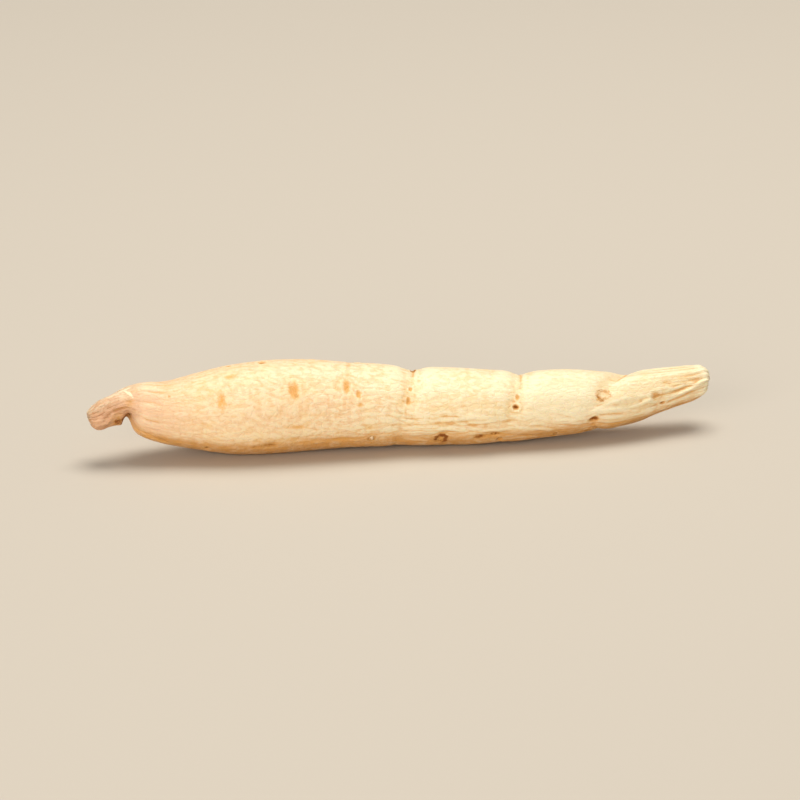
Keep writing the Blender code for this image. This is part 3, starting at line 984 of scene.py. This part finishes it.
# The orange and brown masks carry the scars' stains, the rings' stain, which is partly painted shade, and
# the painted shade of the notch.
orange = skin.times(skin.attribute("orange"), uneven)
colour = skin.mix(skin.ramp(orange, 0.0, 1.1, 0.0, 0.90), colour, SCAR_ORANGE)
brown = skin.times(skin.attribute("brown"), uneven)
colour = skin.mix(skin.ramp(brown, 0.05, 1.0, 0.0, 0.95), colour, SCAR_BROWN)
colour = skin.mix(skin.ramp(specks, 0.71, 0.77, 0.0, 0.5), colour, ORANGE_BROWN)
# The frayed rim is paler, with a painted highlight along it.
rim_pale_and_highlight = skin.times(skin.attribute("tail_rim"), skin.ramp(grain, 0.62, 0.42, 0.30, 0.85))
colour = skin.mix(rim_pale_and_highlight, colour, PALE_RIDGE)
colour = skin.mix(skin.attribute("broken"), colour, STARCH)
skin.feed(skin.shader.inputs["Base Color"], colour)

# %% [markdown]
# The skin shines a little on its rubbed tops and is dull in its hollows and scars. What is too fine
# even for this mesh is left to bump: threads along the root, a crackle of tiny cells, and a fine grain.

# %% Gloss and fine relief
dull_hollows = skin.ramp(hollow_of, -0.5, 1.0, 0.46, 0.68)
dull_scars = skin.ramp(brown, 0.1, 0.7, 0.46, 0.95)
skin.feed(skin.shader.inputs["Roughness"], skin.maths("MAXIMUM", dull_hollows, dull_scars))
skin.shader.inputs["Specular IOR Level"].default_value = 0.38
skin.shader.inputs["Subsurface Weight"].default_value = 0.15
skin.shader.inputs["Subsurface Radius"].default_value = (1.0, 0.55, 0.25)
skin.shader.inputs["Subsurface Scale"].default_value = 0.5 * MM
threads = skin.fibrous(rod, (0.16, 1, 1), 4.5 * PER_MM)
fine_grain = skin.fibrous(rod, (0.6, 1, 1), 8.0 * PER_MM)
wandering = skin.shifted(skin.stretched(rod, (0.55, 1, 1)), 2.2 * PER_MM, 0.35 * MM)
crackle = skin.ramp(skin.cells(wandering, 2.6 * PER_MM), 0.0, 0.16)
normal = skin.bump(threads, 0.60, 0.040 * MM)
normal = skin.bump(crackle, 0.70, 0.026 * MM, normal)
normal = skin.bump(fine_grain, 0.65, 0.022 * MM, normal)
skin.feed(skin.shader.inputs["Normal"], normal)
print("skin material:", len(skin.nodes), "nodes")

# %% Put the skin on the root
root.data.materials.clear()
root.data.materials.append(skin.material)

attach(root, "root")
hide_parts(NODE)
print(root.name, "is made of", skin.material.name)

# %% [markdown]
# ## Loose bits
#
# A few things stand on the skin. Some scars still hold the stump of their rootlet, dry scales of old
# buds lie round the stub, and torn fibres stick out of both ends. Each is placed by a ray that is cast
# from the root's line outwards, so that it meets the sculpted skin.


# %% Places on the skin
def spot(share, degrees):
    """The point of the skin there, the skin's direction outwards, and the root's direction."""
    way, near, up = directions_at(share)
    angle = math.radians(degrees)
    start = Vector(on_line(share))
    _, place, outwards, _ = root.ray_cast(start, near * math.cos(angle) + up * math.sin(angle))
    return place, outwards, way


def joined(name, pieces):
    """Joins the pieces into one smooth object with a subdivided surface."""
    bpy.ops.object.select_all(action="DESELECT")
    for piece in pieces:
        piece.select_set(True)
    bpy.context.view_layer.objects.active = pieces[0]
    bpy.ops.object.join()
    whole = bpy.context.object
    whole.name = name
    apply_modifier(whole, "SUBSURF", levels=2, render_levels=2)
    bpy.ops.object.shade_smooth()
    return whole


# %% [markdown]
# ### Stumps of rootlets
#
# A rootlet breaks off just above the skin. What is left is a short stump that widens into the skin and
# has a dished end.

# %% Add the stumps
# Share of the length, degrees, radius and height in mm, and how far it leans along the root
STUMPS = (
    (0.451, -39, 0.15, 0.16, 0.3),
    (0.331, 152, 0.14, 0.14, -0.2),
    (0.602, 150, 0.12, 0.20, 0.4),
    (0.262, 201, 0.16, 0.12, 0.2),
    (0.745, 236, 0.12, 0.16, 0.5),
    (0.480, 262, 0.14, 0.08, -0.3),
)
STUMP_SIDES = 12
STUMP_SHAPE = ((-0.9, 1.9), (-0.1, 1.45), (0.35, 1.0), (0.8, 0.92), (1.0, 0.80), (0.92, 0.55), (0.75, 0.25))

stumps = []
for place_share, degrees, radius, height, lean in STUMPS:
    place, outwards, way = spot(place_share, degrees)
    upright = (outwards + way * lean).normalized()
    circles = [
        (place + upright * height * MM * rise, upright, radius * MM * width) for rise, width in STUMP_SHAPE
    ]
    stumps.append(loft("stump", circles, STUMP_SIDES))
rootlet_stumps = joined("rootlet_stumps", stumps)
print("stumps:", len(rootlet_stumps.data.polygons), "faces")

# %% [markdown]
# ### Bud scales
#
# Scales are thin sheets. Each starts as a flat grid, and its points are laid over the stub one by one:
# their place in the grid gives the share and the turn, the ray gives the skin, and the lift carries the
# scale's tip a little off it.

# %% Add the scales
# Share of the length at the base, degrees, length and half width in mm, lift of the tip in mm, and how
# many degrees further round the tip is
SCALES = (
    (0.068, 44, 0.50, 0.26, 0.07, 34),
    (0.068, 84, 0.70, 0.20, 0.04, 0),
    (0.072, 122, 0.80, 0.26, 0.08, 0),
    (0.066, 158, 1.05, 0.24, 0.10, 10),
    (0.070, 196, 0.75, 0.22, 0.08, 0),
    (0.056, 228, 0.60, 0.18, 0.10, -10),
)
SCALE_GRID = (7, 9)
SCALE_THICK = 0.04

draw = random.Random(5)
scales = []
for base, degrees, long, half_width, lift, slant in SCALES:
    bpy.ops.object.select_all(action="DESELECT")
    bpy.ops.mesh.primitive_grid_add(x_subdivisions=SCALE_GRID[0], y_subdivisions=SCALE_GRID[1], size=2)
    scale = bpy.context.object
    ragged_edge = draw.uniform(0, 9)
    for vertex in scale.data.vertices:
        across, forth = vertex.co.x, (vertex.co.y + 1) / 2
        width = half_width * MM * (1 - forth) ** 0.55 * (0.75 + 0.5 * forth)
        width *= 1 + 0.3 * noise.noise(Vector((ragged_edge, 4 * forth, across)))
        here = base - forth * long * MM / LENGTH
        turned = degrees + slant * forth + math.degrees(across * width / float(radius_at(here)))
        place, outwards, way = spot(max(here, 0.004), turned)
        rise = (-0.02 + lift * forth**1.3 - 0.02 * across**2) * MM
        vertex.co = place + outwards * rise
    apply_modifier(scale, "SOLIDIFY", thickness=SCALE_THICK * MM, offset=0)
    scales.append(scale)
bud_scales = joined("bud_scales", scales)
print("scales:", len(bud_scales.data.polygons), "faces")

# %% [markdown]
# ### Torn fibres
#
# Where the stem and the tail were snapped off, the tough strands in their middle tore out a little
# further than the flesh. Each is a thin curved tube that starts inside the root.

# %% Add the fibres
CROWN_FIBRES, TAIL_FIBRES = 5, 7
FIBRE_SIDES = 6
FIBRE_STEPS = 6
FIBRE_LENGTHS = (0.08, 0.28)  # mm beyond the broken face
FIBRE_FOOT = 0.1 * MM  # what stays in the root
FIBRE_RADII = (0.045, 0.023)  # mm, at the foot and at the tip
FIBRE_BEND = 0.09


def add_fibre(end, outwards):
    """One strand at the crown (end 0) or the tail (end 1)."""
    way, near, up = directions_at(end)
    angle = draw.uniform(0, math.tau)
    aside = near * math.cos(angle) + up * math.sin(angle)
    inside = Vector(on_line(abs(end - 0.04))) + aside * float(radius_at(end)) * draw.uniform(0.1, 0.7)
    _, start, _, _ = root.ray_cast(inside, outwards * way)
    long = draw.uniform(*FIBRE_LENGTHS) * MM
    bend = Vector((draw.uniform(-1, 1), draw.uniform(-1, 1), draw.uniform(-1, 1)))
    heading = (outwards * way + aside * draw.uniform(0.0, 0.5)).normalized()
    circles = []
    middle = start - heading * FIBRE_FOOT
    for step in range(FIBRE_STEPS):
        along = step / (FIBRE_STEPS - 1)
        heading = (heading + bend * FIBRE_BEND).normalized()
        radius = draw.uniform(0.8, 1.1) * (FIBRE_RADII[0] + (FIBRE_RADII[1] - FIBRE_RADII[0]) * along) * MM
        circles.append((middle.copy(), heading.copy(), radius))
        middle += heading * (long + FIBRE_FOOT) / FIBRE_STEPS
    return loft("fibre", circles, FIBRE_SIDES)


fibres = [add_fibre(0, -1) for _ in range(CROWN_FIBRES)] + [add_fibre(1, 1) for _ in range(TAIL_FIBRES)]
torn_fibres = joined("torn_fibres", fibres)
print("fibres:", len(torn_fibres.data.polygons), "faces")

# %% [markdown]
# Stumps, scales and fibres are dry husk. It is paler than the skin, with brown strands in it, and has
# no gloss.

# %% Husk material
HUSK_PALE = (0.88, 0.74, 0.50, 1)
HUSK_BROWN = (0.50, 0.27, 0.11, 1)

husk = Tree("dry_husk")
strands = husk.fibrous(husk.object_place(), (0.4, 1, 1), 4.0 * PER_MM)
husk.feed(husk.shader.inputs["Base Color"], husk.mix(husk.ramp(strands, 0.50, 0.72), HUSK_PALE, HUSK_BROWN))
husk.shader.inputs["Roughness"].default_value = 0.7
husk.feed(husk.shader.inputs["Normal"], husk.bump(strands, 0.5, 0.03 * MM))
for bit in (rootlet_stumps, bud_scales, torn_fibres):
    bit.data.materials.clear()
    bit.data.materials.append(husk.material)
    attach(bit, "root")
    print(bit.name, "is made of", husk.material.name)

# %% [markdown]
# ## Floor and light
#
# The picture is bright and warm: light falls from above and a little behind, so the upper side is nearly
# white and the lower side falls off to orange. A large soft lamp above gives that, and a second one low
# in front opens the shadows on the near side.

# %% Floor
FLOOR_SIZE = 1.6
FLOOR_GAP = 0.01 * MM  # keeps the floor and the flat spots of the root from lying in one plane
PAPER = (0.55, 0.50, 0.43, 1)

bpy.ops.object.select_all(action="DESELECT")
bpy.ops.mesh.primitive_plane_add(size=FLOOR_SIZE, location=(0, 0, -FLOOR_GAP))
floor = bpy.context.object
floor.name = "floor"
paper = Tree("pale_paper")
paper.shader.inputs["Base Color"].default_value = PAPER
paper.shader.inputs["Roughness"].default_value = 0.85
floor.data.materials.append(paper.material)
print("floor:", FLOOR_SIZE, "m wide")


# %% Lamps
def add_lamp(name, place, size, power, tint):
    """A square soft lamp that looks at the middle of the root."""
    bpy.ops.object.light_add(type="AREA", location=place)
    lamp = bpy.context.object
    lamp.name = name
    lamp.data.size = size
    lamp.data.energy = power
    lamp.data.color = tint
    lamp.rotation_euler = (Vector(place) - root_middle).to_track_quat("Z", "Y").to_euler()
    print(name, "gives", power, "W")


LAMP_SIZE = 0.24  # m
add_lamp("top_lamp", (0.04, 0.06, 0.34), LAMP_SIZE, 1.20, (1.0, 0.96, 0.89))
add_lamp("front_lamp", (-0.18, -0.31, 0.09), LAMP_SIZE, 0.98, (1.0, 0.95, 0.88))

world = bpy.data.worlds.new("room")
bpy.context.scene.world = world
world.use_nodes = True
world.node_tree.nodes["Background"].inputs["Color"].default_value = (1.0, 0.96, 0.90, 1)
world.node_tree.nodes["Background"].inputs["Strength"].default_value = 0.36
bpy.context.scene.view_settings.view_transform = "Standard"

# %% [markdown]
# ## The end
#
# The blank has done its work.

# %% Throw the blank away
bpy.data.objects.remove(blank)
